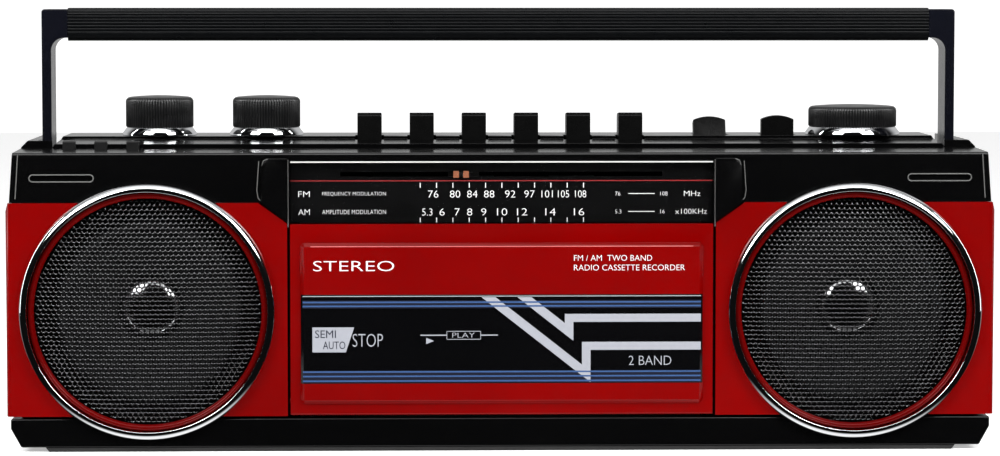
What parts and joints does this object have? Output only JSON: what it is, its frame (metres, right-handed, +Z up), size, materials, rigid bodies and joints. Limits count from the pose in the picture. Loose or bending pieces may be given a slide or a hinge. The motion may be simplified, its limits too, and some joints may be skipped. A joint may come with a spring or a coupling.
{
  "type": "portable stereo radio-cassette recorder",
  "caption": "Portable stereo radio and cassette recorder with round speakers, tuning dial, cassette door, piano keys and a folding carrying handle.",
  "frame": {"origin": "bottom centre of the whole object, on the surface it stands on", "axes": "+X to the right seen from the front, +Y from front to back, +Z up"},
  "size_m": [0.38, 0.096, 0.1702],
  "materials": {
    "black_body": "satin black moulded plastic",
    "black_gloss": "polished black plastic",
    "black_matte": "fine matt black plastic",
    "red_gloss": "glossy deep red paint",
    "dark_red": "dark red plastic",
    "chrome": "polished plating",
    "grille_mesh": "black perforated sheet",
    "rubber_black": "matt rubber",
    "smoked_window": "dark clear plastic with printed lines",
    "clear_window": "clear plastic",
    "dial_print": "black print with pale figures",
    "orange_pointer": "orange plastic",
    "cone_paper": "black pulp",
    "magnet_ferrite": "bare ferrite",
    "steel_plate": "zinc plated sheet",
    "steel_dark": "turned steel",
    "board_green": "glass-epoxy board",
    "white_plastic": "white nylon",
    "brass_parts": "turned brass"
  },
  "bodies": {
    "cabinet": {"front_cabinet": "black_body", "rear_cabinet": "black_body", "left_speaker_panel": "red_gloss", "right_speaker_panel": "red_gloss", "base_strip": "black_body", "foot_bars": "rubber_black", "top_deck": "black_gloss", "dial_scale_plate": "dial_print", "dial_window": "clear_window", "speaker_rims": "chrome", "speaker_rings": "dark_red", "left_grille": "grille_mesh", "right_grille": "grille_mesh", "speaker_baskets": "steel_plate", "speaker_magnets": "magnet_ferrite", "speaker_cones": "cone_paper", "dust_caps": "black_gloss", "tape_chassis": "steel_plate", "tape_heads": "steel_dark", "tape_motor": "steel_plate", "key_rod": "steel_dark", "battery_springs": "steel_plate", "main_board": "board_green", "transformer": "steel_dark", "ac_inlet": "black_matte", "headphone_jack": "black_matte", "screws": "steel_dark", "media_sockets": "steel_plate"},
    "handle": {"handle_grip": "black_matte", "handle_arms": "chrome"},
    "cassette_door": {"door_panel": "red_gloss", "door_window": "smoked_window", "cassette_holder": "black_matte"},
    "volume": {"volume_knob": "black_matte", "volume_skirt": "chrome"},
    "tone": {"tone_knob": "black_matte", "tone_skirt": "chrome"},
    "tuning": {"tuning_knob": "black_matte", "tuning_skirt": "chrome"},
    "pointer": {"dial_pointer": "orange_pointer"},
    "function_switch": {"function_lever": "black_matte"},
    "band_switch": {"band_lever": "black_matte"},
    "battery_cover": {"battery_door": "black_body"},
    "aerial_swivel_base": {"aerial_base": "black_matte"},
    "aerial_outer": {"aerial_tube": "chrome"},
    "aerial_inner": {"aerial_rod": "chrome"},
    "supply_reel": {"supply_spindle": "white_plastic"},
    "takeup_reel": {"takeup_spindle": "white_plastic"},
    "capstan": {"capstan_flywheel": "steel_dark"},
    "pulley": {"motor_pulley": "brass_parts"},
    "pinch": {"pinch_roller": "rubber_black"},
    "rec_key_lever": {"rec_key": "black_matte"},
    "play_key_lever": {"play_key": "black_matte"},
    "rewind_key_lever": {"rewind_key": "black_matte"},
    "forward_key_lever": {"forward_key": "black_matte"},
    "stop_key_lever": {"stop_key": "black_matte"},
    "pause_key_lever": {"pause_key": "black_matte"},
    "media_play": {"media_play_button": "black_matte"},
    "media_back": {"media_back_button": "black_matte"},
    "media_skip": {"media_skip_button": "black_matte"}
  },
  "joints": [
    {"name": "handle_fold", "type": "hinge", "parent": "cabinet", "child": "handle", "pos_m": [0, -0.002, 0.105], "axis": [1, 0, 0], "range_deg": [-90, 0]},
    {"name": "door_open", "type": "hinge", "parent": "cabinet", "child": "cassette_door", "pos_m": [0, -0.0398, 0.0192], "axis": [1, 0, 0], "range_deg": [0, 35]},
    {"name": "volume_turn", "type": "hinge", "parent": "cabinet", "child": "volume", "pos_m": [-0.1351, 0.016, 0.1194], "axis": [0, 0, -1], "range_deg": [-150, 150]},
    {"name": "tone_turn", "type": "hinge", "parent": "cabinet", "child": "tone", "pos_m": [-0.0925, 0.016, 0.1194], "axis": [0, 0, -1], "range_deg": [-150, 150]},
    {"name": "tuning_turn", "type": "hinge", "parent": "cabinet", "child": "tuning", "pos_m": [0.1423, 0.016, 0.1194], "axis": [0, 0, -1], "range_deg": [-125, 525]},
    {"name": "pointer_slide", "type": "slide", "parent": "cabinet", "child": "pointer", "axis": [1, 0, 0], "range_m": [-0.011, 0.046]},
    {"name": "function_rock", "type": "hinge", "parent": "cabinet", "child": "function_switch", "pos_m": [0, 0.018, 0.108], "axis": [1, 0, 0], "range_deg": [0, 40]},
    {"name": "band_rock", "type": "hinge", "parent": "cabinet", "child": "band_switch", "pos_m": [0, 0.018, 0.108], "axis": [1, 0, 0], "range_deg": [-20, 20]},
    {"name": "rec_press", "type": "hinge", "parent": "cabinet", "child": "rec_key_lever", "pos_m": [0, 0.03, 0.111], "axis": [1, 0, 0], "range_deg": [0, 8], "stiffness_Nm_per_rad": 0.5, "springref_deg": -8.59},
    {"name": "play_press", "type": "hinge", "parent": "cabinet", "child": "play_key_lever", "pos_m": [0, 0.03, 0.111], "axis": [1, 0, 0], "range_deg": [0, 8], "stiffness_Nm_per_rad": 0.5, "springref_deg": -8.59},
    {"name": "rewind_press", "type": "hinge", "parent": "cabinet", "child": "rewind_key_lever", "pos_m": [0, 0.03, 0.111], "axis": [1, 0, 0], "range_deg": [0, 8], "stiffness_Nm_per_rad": 0.5, "springref_deg": -8.59},
    {"name": "forward_press", "type": "hinge", "parent": "cabinet", "child": "forward_key_lever", "pos_m": [0, 0.03, 0.111], "axis": [1, 0, 0], "range_deg": [0, 8], "stiffness_Nm_per_rad": 0.5, "springref_deg": -8.59},
    {"name": "stop_press", "type": "hinge", "parent": "cabinet", "child": "stop_key_lever", "pos_m": [0, 0.03, 0.111], "axis": [1, 0, 0], "range_deg": [0, 8], "stiffness_Nm_per_rad": 0.5, "springref_deg": -8.59},
    {"name": "pause_press", "type": "hinge", "parent": "cabinet", "child": "pause_key_lever", "pos_m": [0, 0.03, 0.111], "axis": [1, 0, 0], "range_deg": [0, 8], "stiffness_Nm_per_rad": 0.5, "springref_deg": -8.59},
    {"name": "media_play_press", "type": "slide", "parent": "cabinet", "child": "media_play", "axis": [0, 0, -1], "range_m": [0, 0.0015], "stiffness_N_per_m": 600, "springref_m": -0.0008},
    {"name": "media_back_press", "type": "slide", "parent": "cabinet", "child": "media_back", "axis": [0, 0, -1], "range_m": [0, 0.0015], "stiffness_N_per_m": 600, "springref_m": -0.0008},
    {"name": "media_skip_press", "type": "slide", "parent": "cabinet", "child": "media_skip", "axis": [0, 0, -1], "range_m": [0, 0.0015], "stiffness_N_per_m": 600, "springref_m": -0.0008},
    {"name": "battery_cover_open", "type": "hinge", "parent": "cabinet", "child": "battery_cover", "pos_m": [0, 0.047, 0.009], "axis": [-1, 0, 0], "range_deg": [0, 80]},
    {"name": "aerial_swivel", "type": "hinge", "parent": "cabinet", "child": "aerial_swivel_base", "pos_m": [0.16, 0.0435, 0.109], "axis": [0, 0, -1], "range_deg": [0, 90]},
    {"name": "aerial_tilt", "type": "hinge", "parent": "aerial_swivel_base", "child": "aerial_outer", "pos_m": [0.16, 0.0435, 0.114], "axis": [0, 1, 0], "range_deg": [0, 90]},
    {"name": "aerial_extend", "type": "slide", "parent": "aerial_outer", "child": "aerial_inner", "axis": [-1, 0, 0], "range_m": [0, 0.14]},
    {"name": "supply_turn", "type": "hinge", "parent": "cabinet", "child": "supply_reel", "pos_m": [-0.02575, 0, 0.0415], "axis": [0, 1, 0], "continuous": true},
    {"name": "takeup_turn", "type": "hinge", "parent": "cabinet", "child": "takeup_reel", "pos_m": [0.01675, 0, 0.0415], "axis": [0, 1, 0], "continuous": true},
    {"name": "capstan_turn", "type": "hinge", "parent": "cabinet", "child": "capstan", "pos_m": [0.037, 0, 0.0675], "axis": [0, 1, 0], "continuous": true},
    {"name": "pulley_turn", "type": "hinge", "parent": "cabinet", "child": "pulley", "pos_m": [-0.04, 0, 0.07], "axis": [0, 1, 0], "continuous": true},
    {"name": "pinch_turn", "type": "hinge", "parent": "cabinet", "child": "pinch", "pos_m": [0.039, 0, 0.077], "axis": [0, 1, 0], "continuous": true}
  ],
  "couplings": [
    {"joint": "pointer_slide", "follows": "tuning_turn", "m_per_rad": 0.005},
    {"joint": "pulley_turn", "follows": "capstan_turn", "ratio": 5.25}
  ]
}
